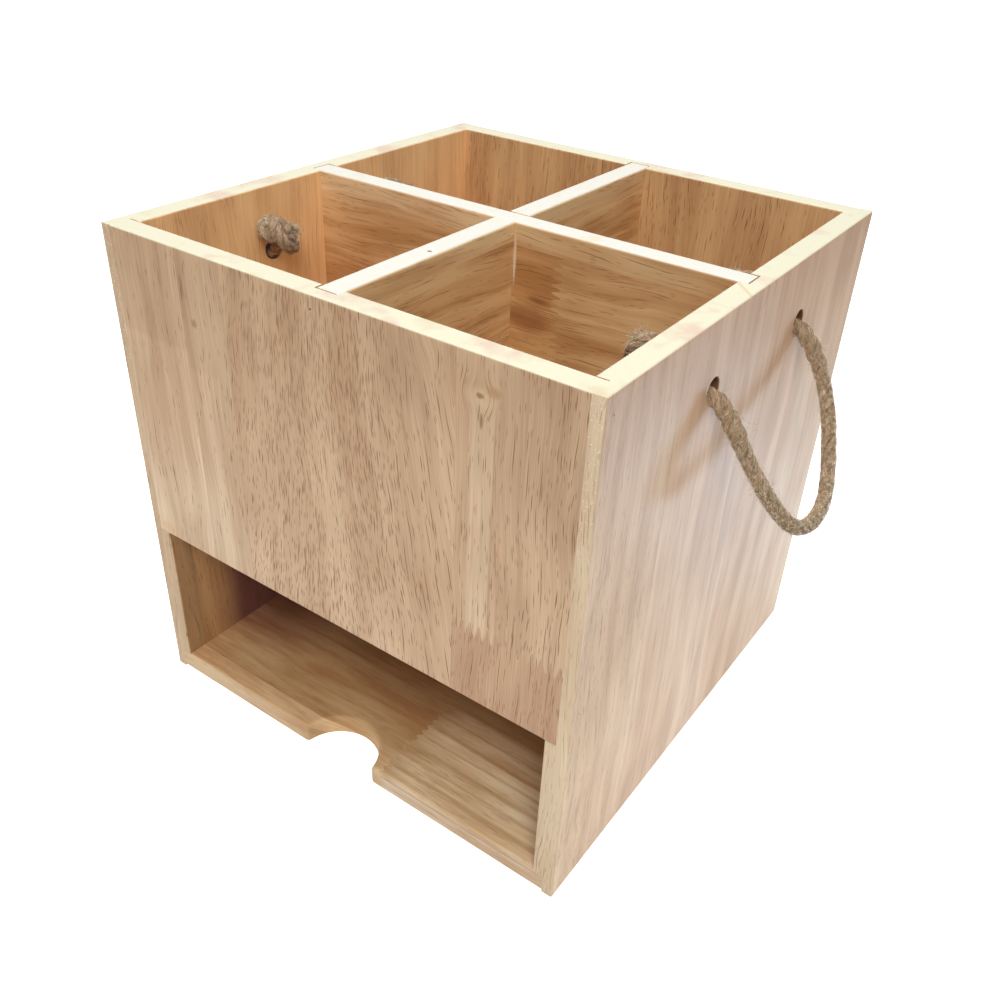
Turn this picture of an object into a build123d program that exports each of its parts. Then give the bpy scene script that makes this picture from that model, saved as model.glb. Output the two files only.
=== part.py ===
from build123d import *
import math
import os

# Utensil caddy of edge-glued boards: four compartments over an open napkin slot,
# with a rope handle through each side. Millimetres, +X right and +Y back as seen
# from the front, +Z up. The origin is the centre of the footprint, on the table.

# Outside of the box
caddy_width = 200.0
caddy_depth = 203.0
caddy_height = 200.0

# Boards
side_thickness = 9.0
front_thickness = 9.0
back_thickness = 9.0
base_thickness = 9.0
floor_thickness = 9.0
divider_thickness = 9.0
slot_height = 65.0

# Joints between boards
rabbet_lip = 4.5
groove_depth = 4.0
groove_play = 0.1
tongue_relief = 0.5
edge_round = 0.8
rim_round = 1.0

# Finger notch in the base's front edge
notch_radius = 17.0
notch_offset = -2.6
notch_setback = 1.3
notch_corner_round = 2.0
notch_edge_round = 1.8

# Square pins driven through the sides into the front and back panels, and one
# through the front panel into the lengthwise divider's end
pin_width = 0.8
pin_length = 15.0
pin_sink = 0.6
pin_play = 0.1
pin_from_top = 6.7
pin_from_bottom = 13.5
divider_pin_from_top = 4.8
divider_pin_offset = -1.9

# Rope handles. The rope lies at the bottom of its wider holes. Flats stand for its
# round section, and each end tapers to clear its hole's mouth as the handle swings
rope_diameter = 5.0
rope_sides = 12
rope_end_taper = 22.5
rope_play = 0.1
hole_diameter = 8.6
hole_drop = 25.0
hole_spacing = 70.0
handle_offset = 2.5
hole_chamfer = 0.4
swing_gap = 0.3
handle_tilt = 29.0

# Route of a handle: along the wall from its middle, then down in its own plane
handle_route = [
    (-35.0, 0.0),
    (-33.0, 10.0),
    (-30.8, 24.0),
    (-26.8, 38.0),
    (-18.5, 53.5),
    (-4.0, 59.6),
    (12.0, 57.0),
    (24.0, 45.5),
    (34.3, 32.0),
    (38.6, 16.0),
    (35.0, 0.0),
]

# Overhand knot, pulled tight: half of its route, along, across and over its own axis.
# The other half is the same, turned half way round the across axis. The tube
# follows the route in short straight steps.
knot_rope_diameter = 4.4
knot_rope_sides = 8
knot_step = 1.9
knot_half = [
    (-3.14, 1.29, -0.17),
    (-0.37, -1.56, -3.44),
    (3.47, -5.89, -0.82),
    (5.91, -2.39, 5.5),
    (3.8, 5.24, 5.93),
]
knot_middle = (0.0, 6.53, 0.0)
knot_tail = 7.1

# Where a knot sits from its hole's inner mouth, and how its axis leans there
knot_away = 9.5
knot_forward = 5.6
knot_rise = 11.4
knot_lean = 22.0
knot_turn = 0.0
knot_roll = -147.0
knot_lead = 2.2
knot_root = 3.2

# Share of a run that its bends may take, and the arc kept out of a tube's own gap
bend_share = 0.45
gap_sample = 0.4
near_arc = 9.0

# Places that follow from the sizes above
side_outer = caddy_width / 2
side_inner = side_outer - side_thickness
rabbet_inner = side_outer - rabbet_lip
front_outer = -caddy_depth / 2
front_inner = front_outer + front_thickness
back_outer = caddy_depth / 2
back_inner = back_outer - back_thickness
slot_top = base_thickness + slot_height
floor_top = slot_top + floor_thickness
hole_height = caddy_height - hole_drop
rope_height = hole_height - (hole_diameter - rope_diameter) / 2 + rope_play
hole_places = [handle_offset - hole_spacing / 2, handle_offset + hole_spacing / 2]
hinge_x = side_outer + rope_diameter / 2 + swing_gap
groove_bottom = side_inner + groove_depth
tongue_end = groove_bottom - tongue_relief


def block(x_span, y_span, z_span):
    sizes = [high - low for low, high in (x_span, y_span, z_span)]
    middles = [(low + high) / 2 for low, high in (x_span, y_span, z_span)]
    return Pos(*middles) * Box(*sizes)


def rod(start, end, diameter):
    length = (end - start).length
    return Plane(origin=start, z_dir=end - start) * Cylinder(
        diameter / 2, length, align=(Align.CENTER, Align.CENTER, Align.MIN)
    )


def edges_along(board, axis, side_axis, side):
    ranked = board.edges().filter_by(axis).group_by(side_axis)
    return ranked[-1] if side > 0 else ranked[0]


def pin_rows(panel_bottom):
    return [caddy_height - pin_from_top, panel_bottom + pin_from_bottom]


def pin_places():
    front_middle = (front_outer + front_inner) / 2
    back_middle = (back_outer + back_inner) / 2
    places = [(front_middle, height) for height in pin_rows(slot_top)]
    places += [(back_middle, height) for height in pin_rows(base_thickness)]
    return places


def pin_bars(width, tip, head):
    half = width / 2
    return [block((tip, head), (y - half, y + half), (z - half, z + half)) for y, z in pin_places()]


def divider_pin_bar(width, tip, head):
    half = width / 2
    x, z = divider_pin_offset, caddy_height - divider_pin_from_top
    return block((x - half, x + half), (head, tip), (z - half, z + half))


def pins():
    head = side_outer - pin_sink
    right = pin_bars(pin_width, head - pin_length, head)
    left = [mirror(pin, about=Plane.YZ) for pin in right]
    head = front_outer + pin_sink
    return Part() + right + left + divider_pin_bar(pin_width, head + pin_length, head)


def pin_holes():
    tip = side_outer - pin_sink - pin_length - pin_play
    return pin_bars(pin_width + pin_play, tip, side_outer)


def divider_pin_hole():
    tip = front_outer + pin_sink + pin_length + pin_play
    return divider_pin_bar(pin_width + pin_play, tip, front_outer)


def side_panel():
    board = block((side_inner, side_outer), (front_outer, back_outer), (0, caddy_height))
    outside = board.faces().sort_by(Axis.X)[-1].edges()
    rim = edges_along(board, Axis.Y, Axis.Z, 1).group_by(Axis.X)[0]
    mouth = edges_along(board, Axis.Z, Axis.Y, -1).group_by(Axis.X)[0]
    board = fillet(outside + rim + mouth, edge_round)
    board -= block((side_inner, rabbet_inner), (front_outer, back_outer), (0, base_thickness))
    board -= block((side_inner, rabbet_inner), (front_outer, front_inner), (slot_top, caddy_height))
    board -= block((side_inner, rabbet_inner), (back_inner, back_outer), (0, caddy_height))
    half_groove = (divider_thickness + groove_play) / 2
    groove_span = (side_inner, groove_bottom)
    board -= block(groove_span, (front_inner, back_inner), (slot_top, floor_top + groove_play))
    board -= block(groove_span, (-half_groove, half_groove), (floor_top, caddy_height))
    for y in hole_places:
        board -= rod(Vector(side_inner, y, hole_height), Vector(side_outer, y, hole_height), hole_diameter)
    hole_edges = board.edges().filter_by(GeomType.CIRCLE)
    hole_edges = hole_edges.filter_by(lambda edge: abs(edge.radius - hole_diameter / 2) < 0.01)
    board = chamfer(hole_edges, hole_chamfer)
    for hole in pin_holes():
        board -= hole
    return board


def grooved_panel(outer, inner, bottom):
    low, high = min(outer, inner), max(outer, inner)
    board = block((-rabbet_inner, rabbet_inner), (low, high), (bottom, caddy_height))
    rims = edges_along(board, Axis.X, Axis.Z, 1)
    hems = edges_along(board, Axis.X, Axis.Z, -1)
    board = fillet(rims + hems, edge_round)
    groove_end = inner + math.copysign(groove_depth, outer - inner)
    half_groove = (divider_thickness + groove_play) / 2
    depth_span = (min(inner, groove_end), max(inner, groove_end))
    board -= block((-half_groove, half_groove), depth_span, (floor_top, caddy_height))
    for hole in pin_holes():
        board -= hole
        board -= mirror(hole, about=Plane.YZ)
    return board


def front_panel():
    return grooved_panel(front_outer, front_inner, slot_top) - divider_pin_hole()


def back_panel():
    return grooved_panel(back_outer, back_inner, base_thickness)


def base_board():
    board = block((-rabbet_inner, rabbet_inner), (front_outer, back_outer), (0, base_thickness))
    center = Pos(notch_offset, front_outer - notch_setback, base_thickness / 2)
    board -= center * Cylinder(notch_radius, base_thickness)
    corners = edges_along(board, Axis.Z, Axis.Y, -1).sort_by(Axis.X)[1:-1]
    board = fillet(corners, notch_corner_round)
    levels = board.edges().group_by(Axis.Z)
    rims = (levels[0] + levels[-1]).filter_by(lambda edge: edge.center().Y < front_outer + notch_radius)
    return fillet(rims, notch_edge_round)


def compartment_floor():
    return block((-tongue_end, tongue_end), (front_inner, back_inner), (slot_top, floor_top))


def divider(length, slot_from_top):
    board = block(
        (-length / 2, length / 2), (-divider_thickness / 2, divider_thickness / 2), (floor_top, caddy_height)
    )
    board = fillet(edges_along(board, Axis.X, Axis.Z, 1), rim_round)
    middle = (floor_top + caddy_height) / 2
    half_slot = (divider_thickness + groove_play) / 2
    span = (middle, caddy_height) if slot_from_top else (floor_top, middle)
    return board - block((-half_slot, half_slot), (-divider_thickness, divider_thickness), span)


def cross_divider():
    return divider(2 * tongue_end, slot_from_top=False)


def long_divider():
    reach = groove_depth - tongue_relief
    board = divider(back_inner - front_inner + 2 * reach, slot_from_top=True).rotate(Axis.Z, 90)
    return board - divider_pin_hole()


def bend_radii(points):
    radii = []
    for before, corner, after in zip(points, points[1:], points[2:]):
        turn = (corner - before).get_angle(after - corner)
        run = min((corner - before).length, (after - corner).length)
        radii.append(bend_share * run / math.tan(math.radians(turn / 2)))
    return radii


def least_gap(path, diameter):
    count = int(path.length / gap_sample)
    points = [path @ (step / count) for step in range(count + 1)]
    near = int(near_arc / gap_sample)
    gaps = [(a - b).length for i, a in enumerate(points) for b in points[i + near:]]
    return min(gaps) - diameter


def rope_path(name, points):
    radii = bend_radii(points)
    path = FilletPolyline(*points, radius=radii)
    listed = ", ".join(f"{radius:.1f}" for radius in radii)
    print(f"{name}: length {path.length:.1f}, radii {listed}")
    return path


def tube(name, path, diameter, sides):
    section = Plane(origin=path @ 0, z_dir=path % 0) * RegularPolygon(diameter / 2, sides)
    solid = sweep(section, path=path, transition=Transition.RIGHT)
    ratio = solid.volume / (section.area * path.length)
    print(f"{name}: volume over section times length {ratio:.4f}")
    return solid


def rope_handle():
    tilt = math.radians(handle_tilt)
    points = [
        Vector(hinge_x + down * math.sin(tilt), handle_offset + along, rope_height - down * math.cos(tilt))
        for along, down in handle_route
    ]
    loop = tube("rope handle", rope_path("rope handle", points), rope_diameter, rope_sides)
    reach = rope_diameter / 2 * math.cos(math.radians(2 * rope_end_taper))
    ends = [loop.faces().sort_by_distance(point)[0] for point in (points[0], points[-1])]
    return loop + [extrude(end, amount=reach, taper=rope_end_taper) for end in ends]


def knot_plane(mouth):
    along, across = Vector(-1, 0, 0), Vector(0, -1, 0)
    for axis, angle in ((Axis.Y, knot_lean), (Axis.Z, knot_turn)):
        along, across = along.rotate(axis, angle), across.rotate(axis, angle)
    across = across.rotate(Axis((0, 0, 0), along), knot_roll)
    center = mouth + Vector(-knot_away, -knot_forward, knot_rise)
    return Plane(origin=center, x_dir=along, z_dir=along.cross(across))


def rope_knot(name, place):
    mouth = Vector(side_inner, place, rope_height)
    outside = Vector(side_outer, place, rope_height)
    plane = knot_plane(mouth)
    other_half = [(-along, across, -over) for along, across, over in reversed(knot_half)]
    turns = knot_half + [knot_middle] + other_half
    tail = (knot_tail, turns[-1][1], 0.0)
    route = [plane.from_local_coords(Vector(*point)) for point in turns + [tail]]
    points = [mouth + Vector(knot_root, 0, 0), mouth - Vector(knot_lead, 0, 0)] + route
    path = rope_path(name, points)
    print(f"{name}: least gap to itself {least_gap(path, knot_rope_diameter):.2f}")
    steps = round(path.length / knot_step)
    chords = Polyline(*[path @ (step / steps) for step in range(steps + 1)])
    solid = tube(name, chords, knot_rope_diameter, knot_rope_sides)
    return solid + rod(outside, mouth - Vector(swing_gap, 0, 0), rope_diameter)


def write_part(name, shape):
    export_step(shape, f"parts/{name}.step")
    print(f"{name}: {len(shape.solids())} solids, {shape.volume:.0f} mm3")


def main():
    os.makedirs("parts", exist_ok=True)
    write_part("front_panel", front_panel())
    write_part("back_panel", back_panel())
    write_part("base_board", base_board())
    write_part("compartment_floor", compartment_floor())
    write_part("cross_divider", cross_divider())
    write_part("long_divider", long_divider())
    write_part("panel_pins", pins())
    pairs = {
        "side_panel": side_panel(),
        "rope_handle": rope_handle(),
        "rope_knot_front": rope_knot("front knot", hole_places[0]),
        "rope_knot_back": rope_knot("back knot", hole_places[1]),
    }
    for name, shape in pairs.items():
        write_part(f"right_{name}", shape)
        write_part(f"left_{name}", mirror(shape, about=Plane.YZ))


main()
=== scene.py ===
import functools
import math
import random

import bpy
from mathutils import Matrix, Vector


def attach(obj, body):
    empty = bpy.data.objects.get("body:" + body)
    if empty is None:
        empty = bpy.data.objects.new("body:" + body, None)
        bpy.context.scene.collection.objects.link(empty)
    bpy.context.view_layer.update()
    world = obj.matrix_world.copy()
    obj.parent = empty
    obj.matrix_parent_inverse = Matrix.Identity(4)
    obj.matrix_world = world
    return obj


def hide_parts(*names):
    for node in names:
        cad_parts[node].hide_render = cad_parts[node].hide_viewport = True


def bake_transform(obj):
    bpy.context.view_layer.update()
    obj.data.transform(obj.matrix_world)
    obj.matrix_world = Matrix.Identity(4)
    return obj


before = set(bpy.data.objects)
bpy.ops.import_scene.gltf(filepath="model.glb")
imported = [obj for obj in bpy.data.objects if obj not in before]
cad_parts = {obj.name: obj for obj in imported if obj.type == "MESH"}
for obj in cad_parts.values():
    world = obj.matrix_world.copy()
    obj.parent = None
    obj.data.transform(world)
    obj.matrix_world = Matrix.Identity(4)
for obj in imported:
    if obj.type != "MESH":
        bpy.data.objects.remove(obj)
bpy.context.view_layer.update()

bpy.context.scene.view_settings.view_transform = "Standard"


def hexColor(text):
    levels = [int(text[i:i + 2], 16) / 255 for i in (1, 3, 5)]
    return [c / 12.92 if c <= 0.04045 else ((c + 0.055) / 1.055) ** 2.4 for c in levels] + [1.0]


def addNode(tree, kind, inputs=None, **settings):
    node = tree.nodes.new(kind)
    for key, value in settings.items():
        setattr(node, key, value)
    for key, value in (inputs or {}).items():
        if isinstance(value, bpy.types.NodeSocket):
            tree.links.new(value, node.inputs[key])
        else:
            node.inputs[key].default_value = value
    return node


def newMaterial(name):
    material = bpy.data.materials.new(name)
    material.use_nodes = True
    material.node_tree.nodes.clear()
    return material, functools.partial(addNode, material.node_tree)


# Each of these adds a node or a few and hands back the result.
def calc(add, operation, *values):
    return add("ShaderNodeMath", dict(enumerate(values)), operation=operation).outputs[0]


def scaled(add, vector, factors):
    if isinstance(factors, tuple):
        return add("ShaderNodeVectorMath", {0: vector, 1: factors}, operation="MULTIPLY").outputs[0]
    return add("ShaderNodeVectorMath", {0: vector, "Scale": factors}, operation="SCALE").outputs[0]


def awayFrom(add, vector, across, along):
    return add("ShaderNodeVectorMath", {0: vector, 1: (across, along, 0)}, operation="SUBTRACT").outputs[0]


def lengthOf(add, vector):
    return add("ShaderNodeVectorMath", {0: vector}, operation="LENGTH").outputs["Value"]


def mapped(add, value, low, high, start=0.0, end=1.0, shape="LINEAR"):
    span = {"Value": value, "From Min": low, "From Max": high, "To Min": start, "To Max": end}
    return add("ShaderNodeMapRange", span, interpolation_type=shape).outputs[0]


def window(add, value, low, high, soft):
    rise = mapped(add, value, low - soft, low + soft, shape="SMOOTHSTEP")
    fall = mapped(add, value, high - soft, high + soft, 1.0, 0.0, "SMOOTHSTEP")
    return calc(add, "MULTIPLY", rise, fall)


noiseSpan = (0.35, 0.65)      # nearly all values of a noise lie between these


def noise(add, vector, scale, detail, rough=0.5, dimensions="3D"):
    looks = {"Vector": vector, "Scale": scale, "Detail": detail, "Roughness": rough}
    return add("ShaderNodeTexNoise", looks, noise_dimensions=dimensions).outputs["Fac"]


def blendIn(add, share, below, above, kind="MIX"):
    mix = add("ShaderNodeMix", {0: share, 6: below, 7: above}, data_type="RGBA", blend_type=kind)
    return mix.outputs[2]


def rampNode(add, value, stops, interpolation="LINEAR"):
    node = add("ShaderNodeValToRGB", {0: value})
    ramp = node.color_ramp
    ramp.interpolation = interpolation
    while len(ramp.elements) < len(stops):
        ramp.elements.new(0.5)
    for element, (position, color) in zip(ramp.elements, stops):
        element.position = position
        element.color = color
    return node


def toneRamp(add, value, stops):
    tones = [(position, hexColor(color)) for position, color in stops]
    return rampNode(add, value, tones).outputs["Color"]


def addObject(name, data):
    piece = bpy.data.objects.new(name, data)
    bpy.context.scene.collection.objects.link(piece)
    return piece


cameraSpec = {
    "place": (0.202513, -0.298497, 0.313629),
    "turnDegrees": (56.627, -2.3434, 35.571),
    "lens": 36.031,
    "nearClip": 0.01,
}
camera = addObject("Camera", bpy.data.cameras.new("Camera"))
camera.location = cameraSpec["place"]
camera.rotation_euler = [math.radians(angle) for angle in cameraSpec["turnDegrees"]]
camera.data.lens = cameraSpec["lens"]
camera.data.clip_start = cameraSpec["nearClip"]
bpy.context.scene.camera = camera
print("camera set")


# One jute rope a side: a loop outside through two holes, a knot inside at each.
# In metres where nothing else is said.
rope = {
    "radius": 0.0025,
    "strands": 3,
    "strandOffset": 0.41,      # of the rope's radius, from its middle to a strand's
    "strandRadius": 0.6,
    "strandJitter": 0.12,      # radians that a strand strays from its third of the turn
    "pitch": 0.0175,           # one full turn of the lay
    "lump": 0.04,              # how much a strand's lay and its width vary
    "lumpRates": (410, 560),   # and how fast, in radians a metre
    "sides": 24,
    "yarns": 6,                # yarns that show round one strand
    "yarnDepth": 0.06,
    "yarnPitch": 0.012,
    "yarnJitter": 0.025,
    "yarnShade": 0.22,         # how much deeper the furrow between two yarns counts in the painted shade
    "patternStep": 333,        # mm from one strand's piece of the fibre pattern to the next
    "fluff": 0.22,             # how much wider it is just outside a hole
    "fluffAt": 0.017,
    "fluffLength": 0.014,
    "opening": 1.1,            # how far a frayed end's strands part, and how much thinner they get
    "thinning": 0.45,
    "resolution": 14,
    "holes": (-0.0325, 0.0375),
    "height": 0.1733,
    "hingeX": 0.1028,
    "blendStart": 0.0975,
    "middleY": 0.0025,
    "tiltDegrees": 29,
    # along the wall and down in the loop's own plane, in mm
    "route": [
        (-33, 10), (-30.8, 24), (-26.8, 38), (-18.5, 53.5), (-4, 59.6),
        (12, 57), (24, 45.5), (34.3, 32), (38.6, 16),
    ],
    # out from the box's middle and up, in mm, from inside the wall to the mouth
    "mouth": [(91, 173.3), (96, 173.3), (102.2, 172.8)],
}
knot = {
    "radius": 0.0023,
    "pitch": 0.014,
    "fray": 0.006,             # the last part, which opens
    "resolution": 10,
    # x, then y from its hole, then z, in mm
    "route": [
        (97, 0, 173.3), (88.8, 0, 173.3), (84.2, -4.43, 183), (83.24, -5.03, 188.02), (79.74, -10.09, 189.61),
        (74.78, -10.6, 183.84), (75.04, -4.44, 178.87), (80.17, -0.12, 181.4), (85.82, 2.02, 185.24),
        (89.2, -4.61, 187.97), (85.66, -10.99, 185.74), (80.39, -8.78, 182.95), (78.27, -4.61, 185.09),
        (74.65, -4.52, 186.71),
    ],
}


def splinePath(name, points, resolution):
    curve = bpy.data.curves.new(name, "CURVE")
    curve.dimensions = "3D"
    curve.resolution_u = resolution
    spline = curve.splines.new("NURBS")
    spline.points.add(len(points) - 1)
    for slot, point in zip(spline.points, points):
        slot.co = (*point, 1.0)
    spline.order_u = 3
    spline.use_endpoint_u = True
    carrier = bpy.data.objects.new(name, curve)
    line = bpy.data.meshes.new_from_object(carrier)
    path = [vertex.co.copy() for vertex in line.vertices]
    bpy.data.objects.remove(carrier)
    return path


def pathFrames(path):
    # a side direction carried along the path without twist
    last = len(path) - 1
    tangents = [(path[min(i + 1, last)] - path[max(i - 1, 0)]).normalized() for i in range(last + 1)]
    side = tangents[0].orthogonal().normalized()
    frames = []
    for tangent in tangents:
        side = (side - tangent * side.dot(tangent)).normalized()
        frames.append((tangent, side, tangent.cross(side)))
    return frames


def pathLengths(path):
    lengths = [0.0]
    for a, b in zip(path, path[1:]):
        lengths.append(lengths[-1] + (b - a).length)
    return lengths


def aroundOf(side, up, angle):
    return side * math.cos(angle) + up * math.sin(angle)


def meshOf(name, vertices, faces):
    mesh = bpy.data.meshes.new(name)
    mesh.from_pydata(vertices, [], faces)
    mesh.polygons.foreach_set("use_smooth", [True] * len(mesh.polygons))
    mesh.update()
    return mesh


def ropeMesh(name, path, radius, pitch, seed, fluff=0.0, fray=0.0):
    # three strands laid round the path, fluffed near both ends, or opened over the last part
    frames, lengths = pathFrames(path), pathLengths(path)
    total, last, sides, lump = lengths[-1], len(path) - 1, rope["sides"], rope["lump"]
    layRate, widthRate = rope["lumpRates"]
    stray, rag = rope["strandJitter"], rope["yarnJitter"]
    dice = random.Random(seed)
    vertices, faces, runs, creaseShades = [], [], [], []
    for strand in range(rope["strands"]):
        start = strand * 2 * math.pi / rope["strands"] + dice.uniform(-stray, stray)
        wander = [dice.uniform(0, 2 * math.pi) for _ in range(3)]
        centers = []
        for point, (tangent, side, up), run in zip(path, frames, lengths):
            out = aroundOf(side, up, start + 2 * math.pi * run / pitch)
            opened = max(0.0, 1 - (total - run) / fray) if fray else 0.0
            off = abs(min(run, total - run) - rope["fluffAt"]) / rope["fluffLength"]
            puff = 1 + fluff * max(0.0, 1 - off * off)
            puff *= 1 + lump * math.sin(run * layRate + wander[0]) + rope["opening"] * opened ** 1.5
            center = point + out * radius * rope["strandOffset"] * puff
            centers.append((center, out, puff * (1 - rope["thinning"] * opened)))
        base = len(vertices)
        for i, (center, out, puff) in enumerate(centers):
            along = (centers[min(i + 1, last)][0] - centers[max(i - 1, 0)][0]).normalized()
            outward = (out - along * out.dot(along)).normalized()
            across = along.cross(outward)
            run = lengths[i]
            size = radius * rope["strandRadius"] * puff * (1 + lump * math.sin(run * widthRate + wander[1]))
            for k in range(sides):
                turn = 2 * math.pi * k / sides
                yarn = math.cos(rope["yarns"] * turn - 2 * math.pi * run / rope["yarnPitch"] + wander[2])
                reach = size * (1 + rope["yarnDepth"] * yarn + dice.uniform(-rag, rag))
                vertices.append(center + aroundOf(outward, across, turn) * reach)
                # painted shade: darker towards the rope's middle and in the furrows between yarns, lighter on
                # a strand's outside
                creaseShades.append(0.5 - 0.5 * math.cos(turn) - rope["yarnShade"] * yarn)
        for i in range(last):
            for k in range(sides):
                n = (k + 1) % sides
                a, b = base + i * sides, base + (i + 1) * sides
                faces.append((a + k, a + n, b + n, b + k))
                corners = ((i, k), (i, k + 1), (i + 1, k + 1), (i + 1, k))
                runs.extend((lengths[step] * 1000 + strand * rope["patternStep"], turn / sides)
                            for step, turn in corners)
        for ring in (0, last):
            rim = [base + ring * sides + k for k in range(sides)]
            faces.append(tuple(rim if ring else reversed(rim)))
            runs.extend([(lengths[ring] * 1000, 0.5)] * sides)
    mesh = meshOf(name, vertices, faces)
    layer = mesh.uv_layers.new(name="strandRun")
    for loop, run in zip(layer.data, runs):
        loop.uv = run
    # the painted shade of each point goes with the mesh as the attribute named deep
    mesh.attributes.new("deep", "FLOAT", "POINT").data.foreach_set("value", creaseShades)
    return mesh


# Fibres are thin three-sided hairs. Their amounts are counts, their lengths the longest.
hair = {
    "thickness": 0.00007,
    "thickSpread": (0.7, 1.3),
    "steps": 6,
    "taper": 0.7,
    "bend": 0.3,
    "shares": (0.35, 1),       # of the longest, for lying fibres and a tuft's
    "layStray": (-0.9, 1.5),   # turns for each turn of the rope, for lying ones
    "endLift": 0.3,
    "swell": (0.94, 0.08),     # where a lying one runs, in rope radii: its ends, and more at its middle
    "looseShares": (0.3, 1),   # for loose ones, then how much they run along, out and sideways
    "looseAlong": (0.5, 1.4),
    "looseOut": (0.2, 0.8),
    "looseAside": (-0.6, 0.6),
    "looseRoot": 0.9,
    "shortBias": 1.6,          # above 1, more of them are short
    "tuftSpread": (0.1, 1.2),
    "lying": 2200,             # these hug a rope
    "lyingLength": 0.009,
    "loose": 900,              # these stand off it
    "looseLength": 0.0055,
    "mouthLoose": 70,          # long ones where it leaves a hole
    "mouthLength": 0.012,
    "mouthSteps": 14,          # of the path, from the hole on
    "mouthRoom": 0.004,        # how far up or down from a hole's middle one may come near the wall
    "tuft": 180,               # in a knot's frayed end
    "tuftLength": 0.0048,
    "tuftRoot": 0.0012,        # how deep they start in the end
    "knotLying": 420,
    "knotLoose": 220,
    "knotLength": 0.0036,
}


def hairMesh(name, rows, seed):
    dice = random.Random(seed)
    vertices, faces = [], []
    for points in rows:
        base, last = len(vertices), len(points) - 1
        thick = hair["thickness"] * dice.uniform(*hair["thickSpread"])
        for step, point in enumerate(points):
            heading = (points[min(step + 1, last)] - points[max(step - 1, 0)]).normalized()
            side = heading.orthogonal().normalized()
            up = heading.cross(side)
            size = thick * (1 - hair["taper"] * step / last)
            vertices.extend(point + aroundOf(side, up, 2 * math.pi * k / 3) * size for k in range(3))
        for step in range(last):
            for k in range(3):
                n = (k + 1) % 3
                a, b = base + 3 * step, base + 3 * step + 3
                faces.append((a + k, a + n, b + n, b + k))
    return meshOf(name, vertices, faces)


def lyingHairs(path, radius, pitch, amount, longest, seed, skip):
    # fibres that follow the lay on the rope's surface and lift at their ends
    dice = random.Random(seed)
    frames, lengths = pathFrames(path), pathLengths(path)
    step, end = lengths[-1] / (len(path) - 1), len(path) - 1 - skip
    ends, swell = hair["swell"]
    rows = []
    for _ in range(amount):
        first = dice.randrange(skip, end - 2)
        span = max(2, min(int(longest * dice.uniform(*hair["shares"]) / step), end - first))
        turn = dice.uniform(0, 2 * math.pi)
        twist = 2 * math.pi / pitch * dice.uniform(*hair["layStray"])
        lift = dice.uniform(0, hair["endLift"])
        points = []
        for i in range(hair["steps"]):
            share = i / (hair["steps"] - 1)
            place = first + share * span
            low = min(int(place), len(path) - 2)
            tangent, side, up = frames[low]
            out = aroundOf(side, up, turn + twist * (place - first) * step)
            on = path[low].lerp(path[low + 1], place - low)
            points.append(on + out * radius * (ends + swell * math.sin(share * math.pi) + lift * share ** 3))
        rows.append(points)
    return rows


def looseHairs(path, radius, amount, longest, seed, span):
    # bent fibres that stand off the rope
    dice = random.Random(seed)
    frames = pathFrames(path)
    rows = []
    for _ in range(amount):
        i = dice.randrange(*span)
        tangent, side, up = frames[i]
        out = aroundOf(side, up, dice.uniform(0, 2 * math.pi))
        heading = tangent * dice.choice((-1, 1)) * dice.uniform(*hair["looseAlong"])
        heading = heading + out * dice.uniform(*hair["looseOut"])
        heading = (heading + out.cross(tangent) * dice.uniform(*hair["looseAside"])).normalized()
        length = longest * dice.uniform(*hair["looseShares"]) ** hair["shortBias"]
        rows.append(bentHair(dice, path[i] + out * radius * hair["looseRoot"], heading, length))
    return rows


def bentHair(dice, root, heading, length):
    bend = Vector([dice.uniform(-hair["bend"], hair["bend"]) for _ in range(3)])
    points = [root]
    for _ in range(hair["steps"] - 1):
        points.append(points[-1] + heading * length / (hair["steps"] - 1))
        heading = (heading + bend).normalized()
    return points


def tuftHairs(path, radius, amount, longest, seed):
    # the frayed end
    dice = random.Random(seed)
    tangent, side, up = pathFrames(path)[-1]
    rows = []
    for _ in range(amount):
        turn, off = dice.uniform(0, 2 * math.pi), math.sqrt(dice.random())
        out = aroundOf(side, up, turn)
        heading = (tangent + out * off * dice.uniform(*hair["tuftSpread"])).normalized()
        root = path[-1] - tangent * hair["tuftRoot"] + out * radius * off
        rows.append(bentHair(dice, root, heading, longest * dice.uniform(*hair["shares"])))
    return rows


def clearOfWall(points):
    # beside a hole a fibre on the wall would stay behind when the loop swings
    return all(abs(point.x) > rope["hingeX"] or abs(point.z - rope["height"]) < hair["mouthRoom"]
               for point in points)


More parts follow.
